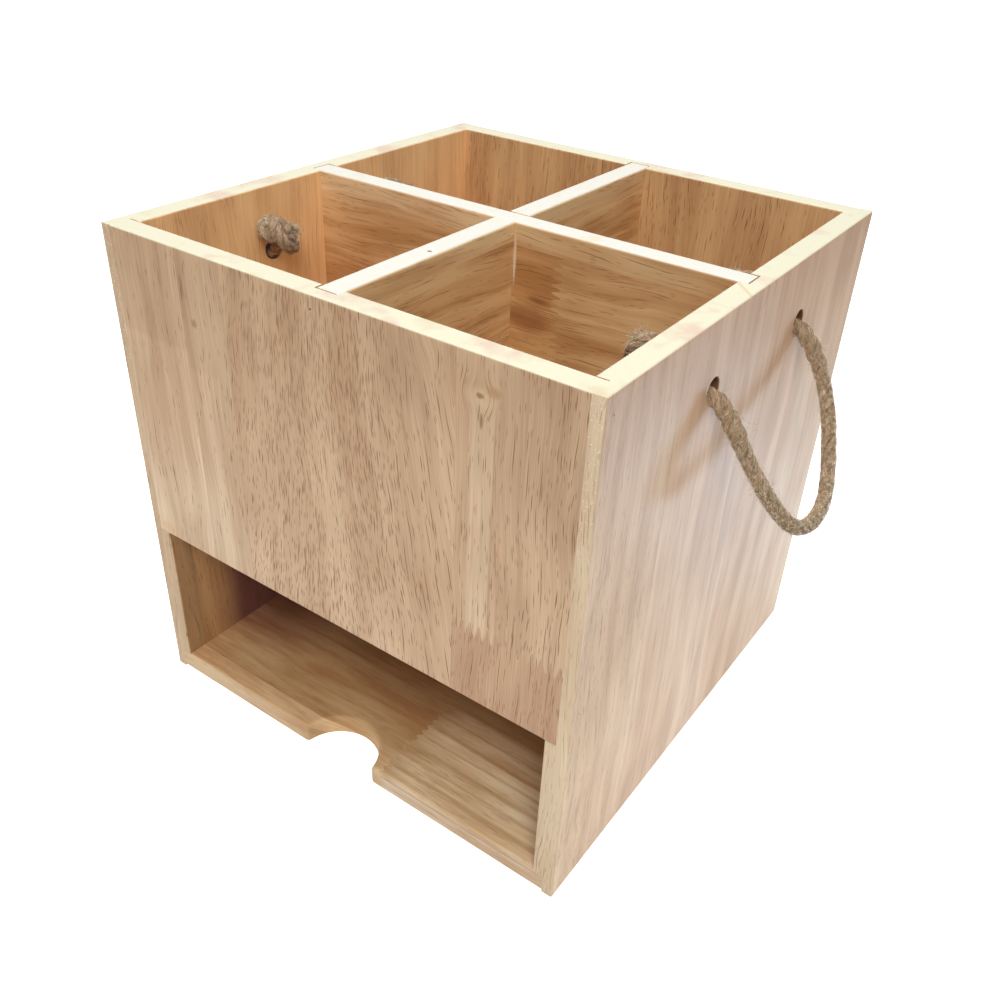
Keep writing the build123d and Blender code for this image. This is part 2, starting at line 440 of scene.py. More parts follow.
# the first number of each piece's random draws; the side's sign is added to it
seeds = {
    "rope": 11, "lying": 21, "loose": 31, "mouth": 36, "fibres": 41,
    "knot": 51, "tuft": 61, "knotLoose": 71, "knotLying": 76, "knotFibres": 81,
}
tilt = math.radians(rope["tiltDegrees"])
ropePieces, hairPieces = [], []
for sign, sideName, body in ((1, "right", "right_handle"), (-1, "left", "left_handle")):
    draws = {use: seed + sign for use, seed in seeds.items()}
    front, back = rope["holes"]
    mouthIn = [Vector((sign * x / 1000, front, z / 1000)) for x, z in rope["mouth"]]
    mouthOut = [Vector((sign * x / 1000, back, z / 1000)) for x, z in reversed(rope["mouth"])]
    loop = [
        Vector((
            sign * (rope["hingeX"] + down / 1000 * math.sin(tilt)),
            rope["middleY"] + along / 1000,
            rope["height"] - down / 1000 * math.cos(tilt),
        ))
        for along, down in rope["route"]
    ]
    radius, pitch = rope["radius"], rope["pitch"]
    path = splinePath(f"{sideName}RopePath", mouthIn + loop + mouthOut, rope["resolution"])
    mesh = ropeMesh(f"{sideName}Rope", path, radius, pitch, draws["rope"], fluff=rope["fluff"])
    piece = addObject(f"{sideName}Rope", mesh)
    skip = rope["resolution"] * 3 // 2      # as far as this the path is still in the wall
    end = len(path) - skip
    mouths = ((skip, skip + hair["mouthSteps"]), (end - hair["mouthSteps"], end))
    rows = lyingHairs(path, radius, pitch, hair["lying"], hair["lyingLength"], draws["lying"], skip)
    rows += looseHairs(path, radius, hair["loose"], hair["looseLength"], draws["loose"], (skip, end))
    for place, span in enumerate(mouths):
        rows += looseHairs(path, radius, hair["mouthLoose"], hair["mouthLength"], draws["mouth"] + place, span)
    rows = [points for points in rows if clearOfWall(points)]
    fuzz = addObject(f"{sideName}RopeFibres", hairMesh(f"{sideName}RopeFibres", rows, draws["fibres"]))
    radius, pitch, skip = knot["radius"], knot["pitch"], knot["resolution"]
    for place, y in (("Front", front), ("Back", back)):
        name = f"{sideName}{place}Knot"
        points = [Vector((sign * x / 1000, y + dy / 1000, z / 1000)) for x, dy, z in knot["route"]]
        turns = splinePath(f"{name}Path", points, knot["resolution"])
        mesh = ropeMesh(name, turns, radius, pitch, draws["knot"], fray=knot["fray"])
        knotPiece = addObject(name, mesh)
        rows = tuftHairs(turns, radius, hair["tuft"], hair["tuftLength"], draws["tuft"])
        rows += looseHairs(turns, radius, hair["knotLoose"], hair["knotLength"], draws["knotLoose"],
                           (skip, len(turns)))
        rows += lyingHairs(turns, radius, pitch, hair["knotLying"], hair["lyingLength"], draws["knotLying"],
                           skip)
        tuft = addObject(f"{name}Fibres", hairMesh(f"{name}Fibres", rows, draws["knotFibres"]))
        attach(knotPiece, "caddy")
        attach(tuft, "caddy")
        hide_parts(f"{sideName}_rope_knot_{place.lower()}")
        ropePieces.append(knotPiece)
        hairPieces.append(tuft)
    for mover in (piece, fuzz):
        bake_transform(mover)
    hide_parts(f"{sideName}_rope_handle")
    ropePieces.append(piece)
    hairPieces.append(fuzz)

# Jute, three strands, unbleached: matte and hairy, with painted shade between the strands and in the furrows
# between the yarns.
jute = {
    "dark": "#5E4733",
    "middle": "#AB8D70",
    "light": "#EACFAB",
    "hairDark": "#A88C6E",
    "hairLight": "#FAEBD0",
    "sheen": "#E8D6B8",
    "fibreWidth": 0.14,        # mm, a bundle of fibres, drawn coarser than the real 0.05
    "aroundStrand": 9.0,       # mm, once round a strand
    "fibreLength": 2.0,        # mm
    "fibreLean": -0.08,        # turns a mm
    "furrow": 0.0003,          # depth of the bump
    "patches": 60.0,           # noise scales, a metre
    "hairMottle": 700.0,
    "patchTone": (0.85, 1.12),
    "creaseShadeSpan": (-0.1, 0.85),  # painted shade: from a strand's back to the furrow between two, and their brightness
    "creaseShadeTone": (1.08, 0.5),
}


def twistedJute(name):
    material, add = newMaterial(name)
    run = add("ShaderNodeUVMap", uv_map="strandRun")
    split = add("ShaderNodeSeparateXYZ", {0: run.outputs[0]}).outputs
    lean = calc(add, "MULTIPLY_ADD", split["X"], jute["fibreLean"], split["Y"])
    wide = calc(add, "MULTIPLY", lean, jute["aroundStrand"] / jute["fibreWidth"])
    far = calc(add, "MULTIPLY", split["X"], 1 / jute["fibreLength"])
    place = add("ShaderNodeCombineXYZ", {"X": wide, "Y": far})
    fibres = noise(add, place.outputs[0], 1.0, 3.0, 0.65)
    tones = toneRamp(add, fibres, [(0.35, jute["dark"]), (0.5, jute["middle"]), (0.65, jute["light"])])
    body = add("ShaderNodeTexCoord")
    patches = noise(add, body.outputs["Object"], jute["patches"], 2.0)
    tones = scaled(add, tones, mapped(add, patches, *noiseSpan, *jute["patchTone"]))
    # painted shade between the strands and in the yarn furrows
    deep = add("ShaderNodeAttribute", attribute_name="deep")
    shaded = scaled(add, tones, mapped(add, deep.outputs["Fac"], *jute["creaseShadeSpan"], *jute["creaseShadeTone"]))
    bump = add("ShaderNodeBump", {"Height": fibres, "Strength": 1.0, "Distance": jute["furrow"]})
    surface = add("ShaderNodeBsdfPrincipled", {
        "Base Color": shaded, "Roughness": 0.85, "Normal": bump.outputs[0], "Specular IOR Level": 0.2,
        "Sheen Weight": 0.3, "Sheen Roughness": 0.5, "Sheen Tint": hexColor(jute["sheen"]),
    })
    add("ShaderNodeOutputMaterial", {"Surface": surface.outputs[0]})
    return material


def juteHair(name):
    material, add = newMaterial(name)
    place = add("ShaderNodeTexCoord")
    mottle = noise(add, place.outputs["Object"], jute["hairMottle"], 1.0)
    tones = toneRamp(add, mottle, [(0.35, jute["hairDark"]), (0.65, jute["hairLight"])])
    looks = {"Base Color": tones, "Roughness": 0.6, "Specular IOR Level": 0.3}
    surface = add("ShaderNodeBsdfPrincipled", looks)
    add("ShaderNodeOutputMaterial", {"Surface": surface.outputs[0]})
    return material


ropeFinish, hairFinish = twistedJute("twistedJute"), juteHair("juteHair")
for piece in ropePieces + hairPieces:
    piece.data.materials.append(hairFinish if piece in hairPieces else ropeFinish)
print("jute applied")

# Rubberwood, edge-glued and finger-jointed, sanded and left bare: pale pinkish brown,
# short dark pores along the grain, cream on the sawn rims and upward faces, their own pale tone with painted
# top light in it.
# Every length is in mm. Across runs over the board's face and on round its edge.
rubberwood = {
    "roughness": 0.62,
    "pore": "#7A4E2E",
    "fibre": (0.4, 36),        # fine streaks: across, along. Drawn coarser than the real 0.05
    "patch": (24, 60),
    "drift": (45, 120),        # how slowly the grain wanders
    "seedStep": (173.0, 397.0),
    "brightestTint": 1.3,      # a ramp's colours end at 1, so the staves' tints are kept as shares of this
    "knife": 0.05,             # how soft the edge of a stave is
    "crowd": (0.6, 1.3),       # how many of its pores a patch keeps
    # where the painted shade of the slot lies, up its walls and back along them
    "slotUp": (-5, 74),
    "slotSoft": 1.0,
    "slotDeeperShade": (-84, 200),    # back from its start a slot wall gets more painted shade
    "deepSoft": 7.0,
    "rimFacing": (0.45, 0.85), # how far up a surface faces, from face to rim; upward faces take the rim tone with its painted top light
    "rimBlush": 0.045,         # noise scales, a mm
    "rimSpeck": 1.6,
    "tornRough": 1.1,
    "tornSoft": (0.4, 14.0),   # sides and ends
    "tornLift": 4.0,           # against 0.4 for the fibres
    "fibreLift": 0.4,
    "bump": {"Strength": 0.35, "Distance": 0.0001},
    "markRag": 0.5,
    "markEdge": (0.6, 1.25),   # of a mark's half size
    # bores darken: the raw wood's burn and painted shade in the hole
    "boreBurnAndShadeTint": (0.3, 0.22, 0.17),
    # one pore to a cell: its size across and along, the pore's core and edge as shares of it
    "pores": (
        {"where": "dashes", "cell": (0.85, 19.0), "core": (0.09, 0.19), "strength": 1.0},
        {"where": "dashes", "cell": (0.65, 8.0), "core": (0.09, 0.22), "strength": 0.8},
        {"where": "lines", "cell": (1.3, 75.0), "core": (0.06, 0.13), "strength": 1.0},
    ),
}


def perMm(size):
    return (1 / size[0], 1 / size[1], 0)


def staveTints(add, board, spot):
    # each stave has a tint and a seed, and past a toothed finger joint it is another piece of wood
    low, high = board["staves"][0][0], board["end"]
    share, brightest = mapped(add, spot["across"], low, high), rubberwood["brightestTint"]
    ramp = rampNode(add, share, [
        ((edge - low) / (high - low), (*[c / brightest for c in tint], seed))
        for edge, tint, seed in board["staves"]
    ], "CONSTANT")
    tint, seed = scaled(add, ramp.outputs["Color"], brightest), ramp.outputs["Alpha"]
    for joint in board.get("joints", []):
        wave = calc(add, "SINE", calc(add, "MULTIPLY", spot["across"], 2 * math.pi / joint["pitch"]))
        line = calc(add, "MULTIPLY_ADD", wave, joint["tooth"] / 2, spot["along"])
        past = calc(add, joint["past"], line, joint["level"])
        inside = calc(add, "MULTIPLY", past, window(add, spot["across"], joint["from"], joint["to"],
                                                    rubberwood["knife"]))
        tint = blendIn(add, inside, tint, (*joint["tint"], 1))
        seed = calc(add, "MULTIPLY_ADD", inside, joint["seed"], seed)
    return share, tint, seed


def grainOf(add, board, spot, seed):
    # the grain wanders, fans out down the board, and parts round a knot
    across, along = spot["across"], spot["along"]
    place = across
    if "fan" in board:
        center, rate, top, *stave = board["fan"]
        drop = calc(add, "MULTIPLY", calc(add, "SUBTRACT", top, along),
                    window(add, across, *stave, rubberwood["knife"]))
        spread = calc(add, "MULTIPLY_ADD", drop, rate, 1.0)
        place = calc(add, "DIVIDE", calc(add, "SUBTRACT", across, center), spread)
    for eye in board.get("knots", []):
        away = awayFrom(add, spot["flat"], eye["across"], eye["along"])
        far = lengthOf(add, scaled(add, away, perMm((eye["wide"], eye["tall"]))))
        near = mapped(add, far, 0.0, 1.0, eye["pinch"], 0.0, "SMOOTHERSTEP")
        sideways = add("ShaderNodeSeparateXYZ", {0: away}).outputs["X"]
        place = calc(add, "MULTIPLY_ADD", sideways, near, place)
    stepAcross, stepAlong = rubberwood["seedStep"]
    own = add("ShaderNodeCombineXYZ", {
        "X": calc(add, "MULTIPLY_ADD", seed, stepAcross, place),
        "Y": calc(add, "MULTIPLY_ADD", seed, stepAlong, along),
    }).outputs[0]
    drift = noise(add, scaled(add, own, perMm(rubberwood["drift"])), 1.0, 3.0, dimensions="2D")
    bent = mapped(add, drift, 0.0, 1.0, -board["wander"], board["wander"])
    push = add("ShaderNodeCombineXYZ", {"X": bent}).outputs[0]
    return add("ShaderNodeVectorMath", {0: own, 1: push}, operation="ADD").outputs[0]


def poresOf(add, board, share, grain, patches):
    # short dark dashes and long lines, thick where the board's own ramps say
    low, high = board["staves"][0][0], board["end"]
    crowd = mapped(add, patches, *noiseSpan, *rubberwood["crowd"])
    pores = 0.0
    for pore in rubberwood["pores"]:
        thick = rampNode(add, share, [
            ((edge - low) / (high - low), (value, value, value, 1)) for edge, value in board[pore["where"]]
        ]).outputs["Color"]
        place = scaled(add, grain, perMm(pore["cell"]))
        cells = add("ShaderNodeTexVoronoi", {"Vector": place, "Scale": 1.0}, voronoi_dimensions="2D").outputs
        dash = mapped(add, cells["Distance"], *pore["core"], pore["strength"], 0.0)
        chance = add("ShaderNodeSeparateColor", {0: cells["Color"]}).outputs[0]
        kept = calc(add, "LESS_THAN", chance, calc(add, "MULTIPLY", thick, crowd))
        pores = calc(add, "MAXIMUM", calc(add, "MULTIPLY", dash, kept), pores)
    return pores


def paintedInsideLightAndShade(add, board, spot, color):
    # painted light and shade inside the box: a warm tint for the bounce light between its walls, painted shade
    # in the slot, and more of it deeper in
    axis, limit, side = board["inner"]
    within = calc(add, side, spot["axes"][axis], limit)
    color = blendIn(add, within, color, (*board["innerTint"], 1), "MULTIPLY")
    if "slotShadeTint" in board:
        slotWindow = window(add, spot["along"], *rubberwood["slotUp"], rubberwood["slotSoft"])
        inSlot = calc(add, "MULTIPLY", within, slotWindow)
        color = blendIn(add, inSlot, color, (*board["slotShadeTint"], 1), "MULTIPLY")
        deepWindow = window(add, spot["across"], *rubberwood["slotDeeperShade"], rubberwood["deepSoft"])
        deep = calc(add, "MULTIPLY", inSlot, deepWindow)
        color = blendIn(add, deep, color, (*board["deepSlotShadeTint"], 1), "MULTIPLY")
    return color


def rimToneAndPaintedTopLight(add, board, spot, color):
    # the sawn rims, where a surface faces up: pale, a little yellow, pink here and there, their own tone with
    # painted top light in it
    upward = add("ShaderNodeSeparateXYZ", {0: spot["normal"]}).outputs["Z"]
    blush = noise(add, spot["mm"], rubberwood["rimBlush"], 3.0, 0.6)
    rim = toneRamp(add, blush, [(0.34, board["rimBlush"]), (0.46, board["rim"]), (0.62, board["rim"]),
                                (0.74, board["rimDull"])])
    speck = noise(add, spot["mm"], rubberwood["rimSpeck"], 3.0, 0.7)
    rim = scaled(add, rim, mapped(add, speck, 0.25, 0.5, 0.93, 1.0))
    return blendIn(add, mapped(add, upward, *rubberwood["rimFacing"]), color, rim)


def sawnBoard(board):
    material, add = newMaterial(board["name"])
    own = add("ShaderNodeTexCoord").outputs
    mm = scaled(add, own["Object"], 1000.0)
    axes = add("ShaderNodeSeparateXYZ", {0: mm}).outputs
    faceAxis, depthAxis, alongAxis, depthSign, depthZero = board["axes"]
    along = axes[alongAxis]
    behind = calc(add, "SUBTRACT", axes[depthAxis], depthZero)
    across = calc(add, "MULTIPLY_ADD", behind, depthSign, axes[faceAxis])
    flat = add("ShaderNodeCombineXYZ", {"X": across, "Y": along}).outputs[0]
    spot = {"mm": mm, "normal": own["Normal"], "axes": axes, "across": across, "along": along, "flat": flat}
    share, tint, seed = staveTints(add, board, spot)
    grain = grainOf(add, board, spot, seed)

    def grainNoise(size, detail=2.0, rough=0.55):
        return noise(add, scaled(add, grain, perMm(size)), 1.0, detail, rough, "2D")

    bands = grainNoise(board["band"], 3.0, 0.6)
    fibres = grainNoise(rubberwood["fibre"])
    patches = grainNoise(rubberwood["patch"])
    mixed = calc(add, "MULTIPLY_ADD", patches, board["patchy"], bands)
    mixed = calc(add, "MULTIPLY", mixed, 1 / (1 + board["patchy"]))
    tones = toneRamp(add, mixed, [(0.38, board["pale"]), (0.5, board["middle"]), (0.62, board["dark"])])
    color = scaled(add, tones, mapped(add, fibres, 0.3, 0.7, 1 - board["streak"], 1 + board["streak"]))
    color = add("ShaderNodeVectorMath", {0: color, 1: tint}, operation="MULTIPLY").outputs[0]
    for patch in board.get("washes", []):
        wavy = calc(add, "MULTIPLY_ADD", bands, patch["wave"], across)
        within = calc(add, "MULTIPLY", window(add, wavy, *patch["across"], patch["soft"]),
                      window(add, along, *patch["along"], patch["endSoft"]))
        color = blendIn(add, within, color, (*patch["tint"], 1), "MULTIPLY")
    pores = poresOf(add, board, share, grain, patches)
    color = blendIn(add, calc(add, "MULTIPLY", pores, board["poreDark"]), color, hexColor(rubberwood["pore"]))
    if "inner" in board:
        color = paintedInsideLightAndShade(add, board, spot, color)
    if "rim" in board:
        color = rimToneAndPaintedTopLight(add, board, spot, color)

    # drilled bores, darker: the raw wood's burn and painted shade in the hole
    for boreAcross, boreAlong, reach in board.get("bores", []):
        hub = add("ShaderNodeCombineXYZ", {"X": axes[faceAxis], "Y": along}).outputs[0]
        far = lengthOf(add, awayFrom(add, hub, boreAcross, boreAlong))
        within = calc(add, "LESS_THAN", far, reach)
        color = blendIn(add, within, color, (*rubberwood["boreBurnAndShadeTint"], 1), "MULTIPLY")

    # stains, knot eyes and other small marks
    for markAcross, markAlong, wide, tall, tone, strength in board.get("marks", []):
        away = awayFrom(add, flat, markAcross, markAlong)
        far = lengthOf(add, scaled(add, away, perMm((wide, tall))))
        ragged = calc(add, "MULTIPLY_ADD", fibres, rubberwood["markRag"], far)
        near = mapped(add, ragged, *rubberwood["markEdge"], strength, 0.0, "SMOOTHSTEP")
        color = blendIn(add, near, color, hexColor(tone))

    relief = calc(add, "SUBTRACT", calc(add, "MULTIPLY", fibres, rubberwood["fibreLift"]), pores)
    if "torn" in board:
        torn = board["torn"]
        sides, ends = rubberwood["tornSoft"]
        rough = noise(add, mm, rubberwood["tornRough"], 4.0, 0.75)
        ripped = calc(add, "MULTIPLY", window(add, across, *torn["across"], sides),
                      window(add, along, *torn["along"], ends))
        lifted = calc(add, "MULTIPLY", rough, ripped)
        relief = calc(add, "MULTIPLY_ADD", lifted, rubberwood["tornLift"], relief)
        chips = mapped(add, rough, 0.56, 0.68, 0.0, torn["strength"])
        color = blendIn(add, calc(add, "MULTIPLY", ripped, chips), color, hexColor(torn["tone"]))
    bump = add("ShaderNodeBump", {"Height": relief, **rubberwood["bump"]})
    surface = add("ShaderNodeBsdfPrincipled", {
        "Base Color": color, "Roughness": rubberwood["roughness"], "Normal": bump.outputs[0],
        "Specular IOR Level": 0.3,
    })
    add("ShaderNodeOutputMaterial", {"Surface": surface.outputs[0]})
    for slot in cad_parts[board["node"]].material_slots:
        slot.material = material
    print(board["name"], "sanded")


def wash(across, along, tint, soft, endSoft, wave=0.0):
    # a patch of another tint, with soft sides and ends and sides as wavy as the bands; some are the wood's own
    # tone, some painted light or shade
    return {"across": across, "along": along, "tint": tint, "soft": soft, "endSoft": endSoft, "wave": wave}


# A board's own entries. axes: the axis over its face, the one through it, the grain's, then the
# sign and the zero of the way through. staves: from, tint, seed; the last ends at end.
# fan: middle, rate, top, and the stave it is in. dashes and lines: at, share of cells with a pore.
# marks: across, along, half width, half height, tone, strength. bores: across, up, reach.
# the rim colours hold the rims' own pale tone and painted top light
rims = {"rim": "#E9E5CC", "rimBlush": "#E2CDB8", "rimDull": "#E0D4B4"}
frontBoard = {
    **rims, "name": "rubberwoodFront", "node": "front_panel", "axes": ("X", "Y", "Z", 1, -101.5), "end": 106,
    "staves": [(-96, (0.96, 0.945, 0.94), 0.11), (-63, (0.92, 0.91, 0.91), 0.31),
               (-42, (1.0, 0.995, 0.99), 0.52), (53, (0.99, 0.985, 0.98), 0.77)],
    "joints": [{"from": 53, "to": 97, "level": 104.5, "past": "LESS_THAN", "pitch": 3.4, "tooth": 5.4,
                "seed": 0.35, "tint": (0.88, 0.8, 0.785)}],
    "fan": (-4.0, 0.0033, 200.0, -42, 53),
    "knots": [{"across": 61, "along": 187.7, "wide": 9, "tall": 9, "pinch": -0.8},
              {"across": 44, "along": 201, "wide": 13, "tall": 20, "pinch": -0.75}],
    "marks": [(62, 187, 7.0, 4.2, "#DCC6A2", 0.38), (61.3, 187.7, 1.8, 1.2, "#84603F", 0.8),
              (62, 180, 0.8, 3.4, "#7A5638", 0.7), (66, 190, 3.4, 2.4, "#A98058", 0.5),
              (-57, 175, 1.9, 2.2, "#8E6A4C", 0.6), (-90, 78, 7.0, 2.6, "#D9B877", 0.45),
              (-61, 187, 0.9, 5.0, "#7A5638", 0.45)],
    "washes": [
        wash((-110, -62), (50, 163), (1.09, 1.12, 1.14), 1.2, 1.6, 1.0),
        wash((-61, -46), (50, 157), (1.1, 1.12, 1.14), 1.5, 1.6, 2.0),
        wash((58.5, 66.5), (104.5, 186), (1.1, 1.17, 1.22), 0.8, 3.0),
        wash((66.9, 67.5), (108, 182), (0.82, 0.78, 0.75), 0.25, 9.0, 0.6),
        # painted shade: the front darker along its top
        wash((-110, 120), (168, 230), (0.91, 0.89, 0.86), 1.0, 28.0),
        # painted light: the front lighter towards its foot, most on the left
        wash((-110, -48), (60, 122), (1.18, 1.29, 1.38), 14.0, 34.0, 8.0),
        wash((-50, 30), (60, 92), (1.14, 1.18, 1.24), 10.0, 24.0),
        wash((-39, -25), (152, 230), (0.89, 0.85, 0.82), 5.0, 16.0, 6.0),
        wash((24, 46), (178, 230), (0.84, 0.8, 0.78), 7.0, 12.0, 4.0),
        wash((68, 120), (146, 230), (0.94, 0.94, 0.95), 1.5, 14.0, 1.0),
    ],
    "pale": "#D3B798", "middle": "#C9AB8D", "dark": "#BD9C7E", "band": (10, 240), "patchy": 0.8,
    "wander": 6.0, "streak": 0.12, "poreDark": 0.85,
    "dashes": [(-96, 0.08), (-48, 0.16), (-38, 0.7), (-5, 1.0), (24, 0.85), (36, 0.35), (53, 0.2),
               (96, 0.35)],
    "lines": [(-96, 0.04), (-45, 0.08), (-40, 0.35), (-25, 0.12), (25, 0.2), (36, 0.8), (52, 0.8),
              (55, 0.35), (66, 0.45), (96, 0.75)],
    # the inside faces get a tint of painted warm bounce light and shade
    "inner": ("Y", -97.0, "GREATER_THAN"), "innerTint": (1.05, 0.9, 0.66),
}
backBoard = {
    **frontBoard, "name": "rubberwoodBack", "node": "back_panel", "axes": ("X", "Y", "Z", -1, 101.5),
    "staves": [(-96, (1.0, 1.0, 1.0), 0.43), (-52, (1.03, 1.02, 1.0), 0.17), (-8, (0.98, 0.97, 0.96), 0.91),
               (37, (1.0, 1.0, 1.0), 0.63)],
    "joints": [{"from": -8, "to": 37, "level": 120, "past": "LESS_THAN", "pitch": 3.4, "tooth": 5,
                "seed": 0.2, "tint": (1.0, 0.97, 0.95)}],
    "fan": (20.0, 0.002, 200.0, -8, 37), "knots": [], "marks": [], "washes": [],
    "dashes": [(-96, 0.3), (-40, 0.15), (0, 0.4), (50, 0.2), (106, 0.35)],
    "lines": [(-96, 0.2), (106, 0.3)],
    "inner": ("Y", 97.0, "LESS_THAN"),
}
rightBoard = {
    **rims, "name": "rubberwoodRightSide", "node": "right_side_panel", "axes": ("Y", "X", "Z", 1, 100.0),
    "end": 102,
    "staves": [(-112, (0.86, 0.93, 0.94), 0.05), (-101.4, (1.0, 0.985, 0.97), 0.23),
               (-56, (1.01, 0.99, 0.985), 0.67), (-2, (1.0, 0.985, 0.985), 0.37),
               (44, (1.0, 0.99, 0.99), 0.81)],
    "washes": [
        wash((-69, -66), (-5, 215), (1.05, 1.08, 1.08), 1.6, 0.5, 9.0),
        wash((-56, -51), (-5, 130), (1.04, 1.07, 1.06), 2.5, 25, 9.0),
        wash((-0.7, 1.1), (193, 205), (0.8, 0.76, 0.74), 0.6, 2.0, 1.0),
        wash((3, 50), (-5, 82), (0.985, 0.97, 0.965), 0.6, 4.0),
        # painted shade: the side darker towards its top
        wash((-101.5, 120), (172, 230), (0.8, 0.74, 0.69), 0.1, 32.0),
        # painted light: the side lighter low down, over its front and middle
        wash((-101.5, 30), (-60, 60), (1.12, 1.15, 1.19), 20.0, 50.0),
        wash((-101.5, -86), (-60, 150), (1.12, 1.19, 1.21), 5.0, 24.0, 4.0),
        # painted shade: the back of the side darker, and its upper back darker still
        wash((14, 130), (-60, 260), (0.9, 0.85, 0.79), 8.0, 1.0, 6.0),
        wash((18, 130), (100, 260), (0.97, 0.95, 0.93), 12.0, 30.0, 6.0),
    ],
    "pale": "#E6C8AA", "middle": "#DDBC9D", "dark": "#D0AE90", "band": (9, 300), "patchy": 0.9,
    "wander": 7.0, "streak": 0.085, "poreDark": 0.52,
    "dashes": [(-112, 0.35), (-101, 0.32), (-72, 0.2), (-50, 0.05), (102, 0.03)],
    "lines": [(-112, 0.3), (-101, 0.8), (-72, 0.6), (-50, 0.4), (10, 0.3), (102, 0.15)],
    # the inside faces get a tint of painted warm bounce light
    "inner": ("X", 91.2, "LESS_THAN"), "innerTint": (1.24, 1.11, 0.82),
    # the slot's walls get painted shade, darker deeper in
    "slotShadeTint": (0.56, 0.5, 0.48), "deepSlotShadeTint": (0.46, 0.37, 0.38),
    "bores": [(-32.5, 175, 4.5), (37.5, 175, 4.5)],
    "marks": [(-14, 200, 1.2, 1.5, "#DDB98F", 0.5), (-37.1, 176.5, 0.8, 2.6, "#F2EBDC", 0.75)],
    "torn": {"across": (-107, -101.6), "along": (150, 214), "tone": "#F4E9CF", "strength": 0.75},
}
leftBoard = {
    **rightBoard, "name": "rubberwoodLeftSide", "node": "left_side_panel",
    "axes": ("Y", "X", "Z", -1, -100.0),
    "staves": [(-112, (0.86, 0.92, 0.93), 0.35), (-101.4, (1.0, 0.99, 0.97), 0.57),
               (-14, (0.98, 0.96, 0.94), 0.12), (24, (1.0, 1.0, 0.99), 0.94), (62, (1.05, 1.04, 1.02), 0.28)],
    # painted shade deeper in the slot, darker and more purple on this wall
    "washes": [], "marks": [], "inner": ("X", -91.2, "GREATER_THAN"), "deepSlotShadeTint": (0.4, 0.3, 0.5),
}
baseRings = ((-94.5, 1.9), (-87.5, 1.2), (-82.5, 2.4), (-75, 1.2), (-69.5, 2.2), (-62, 1.3))
baseBoard = {
    "name": "rubberwoodBase", "node": "base_board", "axes": ("Y", "Z", "X", 1, 9.0), "end": 102,
    # the first two staves, the front lip, are tinted brighter: their wood tone with painted light in it
    "staves": [(-112, (1.09, 1.21, 1.45), 0.3), (-101.4, (1.17, 1.19, 1.23), 0.19),
               (-94, (0.97, 0.96, 0.95), 0.36), (-57, (0.93, 0.92, 0.9), 0.71),
               (-12, (0.8, 0.78, 0.74), 0.49), (40, (0.8, 0.78, 0.74), 0.07)],
    "joints": [{"from": -101.4, "to": -57, "level": 19, "past": "GREATER_THAN", "pitch": 3.4, "tooth": 1.6,
                "seed": 0.33, "tint": (1.0, 1.02, 1.05)}],
    "washes": [
        # painted light on the front lip's face, and painted shade dulling the highlight on its rounded top
        # edge
        wash((-112, -103.6), (20, 130), (1.08, 1.2, 1.42), 0.3, 3.0),
        wash((-103.6, -101.2), (20, 130), (0.75, 0.69, 0.65), 0.3, 3.0),
        # painted shade: the base darker further back under the front panel, darkest towards the back on the
        # left
        wash((-86, 130), (-120, 120), (0.85, 0.8, 0.76), 10.0, 1.0),
        wash((-66, 130), (-120, 120), (0.82, 0.77, 0.74), 12.0, 1.0),
        wash((-74, 130), (-130, -62), (0.66, 0.54, 0.62), 12.0, 20.0),
        # painted light on the front of the base's right part
        wash((-103, -56), (24, 130), (1.42, 1.7, 2.1), 2.0, 9.0),
        *[wash((ring, ring + wide), (22, 130), (0.78, 0.7, 0.6), 0.8, 5.0, 3.0)
          for ring, wide in baseRings],
    ],
    "pale": "#D7B68B", "middle": "#CBA579", "dark": "#BC9064", "band": (4, 40), "patchy": 1.2,
    "wander": 4.0, "streak": 0.07, "poreDark": 0.45,
    "dashes": [(-112, 0.2), (0, 0.3), (102, 0.3)],
    "lines": [(-112, 0.2), (102, 0.2)],
}
floorBoard = {
    **baseBoard, "name": "rubberwoodFloor", "node": "compartment_floor", "axes": ("Y", "Z", "X", 1, 83.0),
    "staves": [(-112, (1.0, 1.0, 1.0), 0.83), (-40, (0.98, 0.97, 0.96), 0.55), (10, (1.02, 1.01, 1.0), 0.14),
               (55, (1.0, 0.99, 0.98), 0.38)],
    "joints": [], "washes": [],
}
# the rim colours hold the rims' own pale tone and painted top light
dividerRims = {"rim": "#EAE8DF", "rimBlush": "#E8E0CC", "rimDull": "#E4DEC9"}
crossBoard = {
    **dividerRims, "name": "rubberwoodCrossDivider", "node": "cross_divider",
    "axes": ("Z", "Y", "X", 1, -4.5), "end": 210,
    "staves": [(82, (1.0, 1.0, 1.0), 0.61), (128, (1.0, 0.99, 0.97), 0.27), (191.5, (1.02, 1.03, 1.05), 0.88)],
    # painted shade: the cross divider's right half darker
    "washes": [wash((60, 220), (2, 120), (0.8, 0.76, 0.68), 1.0, 1.0)],
    "joints": [{"from": 128, "to": 191.5, "level": 24, "past": "LESS_THAN", "pitch": 3.0, "tooth": 4,
                "seed": 0.41, "tint": (0.9, 0.8, 0.68)}],
    "marks": [(165, 12, 8.0, 14.0, "#7C3F1E", 0.5), (173, 17, 1.6, 7.0, "#6E3A1E", 0.45),
              (186, 5.2, 12.0, 0.9, "#F3E7CF", 0.7)],
    "pale": "#F4D5A8", "middle": "#E8C193", "dark": "#CFA272", "band": (6, 130), "patchy": 0.9,
    "wander": 9.0, "streak": 0.06, "poreDark": 0.65,
    "dashes": [(82, 0.2), (140, 0.18), (190, 0.18), (210, 0.2)],
    "lines": [(82, 0.6), (140, 0.95), (190, 0.95), (210, 0.5)],
}
